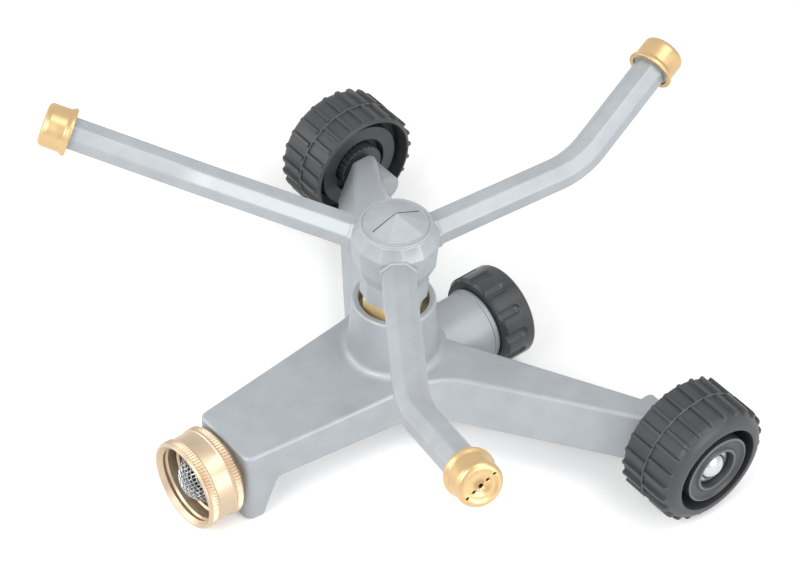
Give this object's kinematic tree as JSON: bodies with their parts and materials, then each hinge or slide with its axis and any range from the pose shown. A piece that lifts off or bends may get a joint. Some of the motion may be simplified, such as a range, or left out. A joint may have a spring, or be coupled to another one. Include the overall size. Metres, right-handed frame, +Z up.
{
  "type": "rotary sprinkler",
  "caption": "Rotary lawn sprinkler: bent octagonal arms with twistable nozzle caps on a spinning head, over a low cast base with a hose coupling, wheels and a capped outlet.",
  "frame": {"origin": "middle of the flat pad of the foot under the hose inlet, on the ground", "axes": "+X along the water pipe from the hose inlet to the outlet, +Z up along the rotor's axis, +Y to the left wheel; the ground is z = 0"},
  "size_m": [0.2254, 0.2336, 0.1046],
  "materials": {
    "cast_silver": "satin metallic paint over a zinc casting",
    "arm_silver": "satin metallic paint over tube",
    "coupling_brass": "pale satin machined brass",
    "nut_brass": "machined brass",
    "nozzle_brass": "bright satin brass",
    "seal_rubber": "smooth matt rubber",
    "mesh_steel": "woven steel wire",
    "plain_steel": "plated steel",
    "white_nylon": "smooth nylon",
    "red_fibre": "pressed fibre",
    "wheel_plastic": "matt moulded plastic",
    "cap_plastic": "satin moulded plastic"
  },
  "bodies": {
    "base": {"base_casting": "cast_silver", "inlet_nipple": "coupling_brass", "nut_gasket": "red_fibre", "bearing_nut": "nut_brass", "axle_right": "plain_steel", "axle_left": "plain_steel", "axle_washer_right": "plain_steel", "axle_washer_left": "plain_steel"},
    "rotor": {"spindle": "nut_brass", "bearing_rubber": "seal_rubber", "slip_washer": "white_nylon", "thrust_washer": "plain_steel", "head_seal": "seal_rubber", "rotor_head": "cast_silver", "cap_seal": "seal_rubber", "rotor_cap": "cast_silver", "arm_front": "arm_silver", "arm_right": "arm_silver", "arm_left": "arm_silver", "nozzle_ring_front": "seal_rubber", "nozzle_ring_right": "seal_rubber", "nozzle_ring_left": "seal_rubber"},
    "front_nozzle": {"nozzle_front": "nozzle_brass"},
    "right_nozzle": {"nozzle_right": "nozzle_brass"},
    "left_nozzle": {"nozzle_left": "nozzle_brass"},
    "coupling": {"hose_coupling": "coupling_brass"},
    "filter": {"filter_screen": "mesh_steel", "hose_washer": "seal_rubber"},
    "right_wheel": {"wheel_right": "wheel_plastic"},
    "left_wheel": {"wheel_left": "wheel_plastic"},
    "cap_washer": {"outlet_washer": "seal_rubber"},
    "cap": {"outlet_cap": "cap_plastic"}
  },
  "joints": [
    {"name": "rotor_spin", "type": "hinge", "parent": "base", "child": "rotor", "pos_m": [0.0715, 0, 0.0793], "axis": [0, 0, 1], "continuous": true},
    {"name": "nozzle_front_twist", "type": "hinge", "parent": "rotor", "child": "front_nozzle", "pos_m": [0.0134, -0.11149, 0.09584], "axis": [-0.2665, -0.91, 0.3178], "continuous": true},
    {"name": "nozzle_right_twist", "type": "hinge", "parent": "rotor", "child": "right_nozzle", "pos_m": [0.1971, 0.00542, 0.09584], "axis": [0.9213, 0.2242, 0.3178], "continuous": true},
    {"name": "nozzle_left_twist", "type": "hinge", "parent": "rotor", "child": "left_nozzle", "pos_m": [0.004, 0.10606, 0.09584], "axis": [-0.6548, 0.6857, 0.3178], "continuous": true},
    {"name": "coupling_swivel", "type": "hinge", "parent": "base", "child": "coupling", "pos_m": [-0.02095, 0, 0.0181], "axis": [-1, 0, 0], "continuous": true},
    {"name": "filter_lift_out", "type": "slide", "parent": "coupling", "child": "filter", "axis": [-1, 0, 0], "range_m": [0, 0.014]},
    {"name": "wheel_right_spin", "type": "hinge", "parent": "base", "child": "right_wheel", "pos_m": [0.1273, -0.0866, 0.0236], "axis": [0, 1, 0], "continuous": true},
    {"name": "wheel_left_spin", "type": "hinge", "parent": "base", "child": "left_wheel", "pos_m": [0.1273, 0.0866, 0.0236], "axis": [0, 1, 0], "continuous": true},
    {"name": "cap_travel", "type": "slide", "parent": "base", "child": "cap_washer", "axis": [1, 0, 0], "range_m": [0, 0.01106]},
    {"name": "cap_turn", "type": "hinge", "parent": "cap_washer", "child": "cap", "pos_m": [0.1195, 0, 0.0181], "axis": [1, 0, 0], "range_deg": [0, 1800]}
  ],
  "couplings": [
    {"joint": "cap_travel", "follows": "cap_turn", "m_per_rad": 0.00035157}
  ]
}
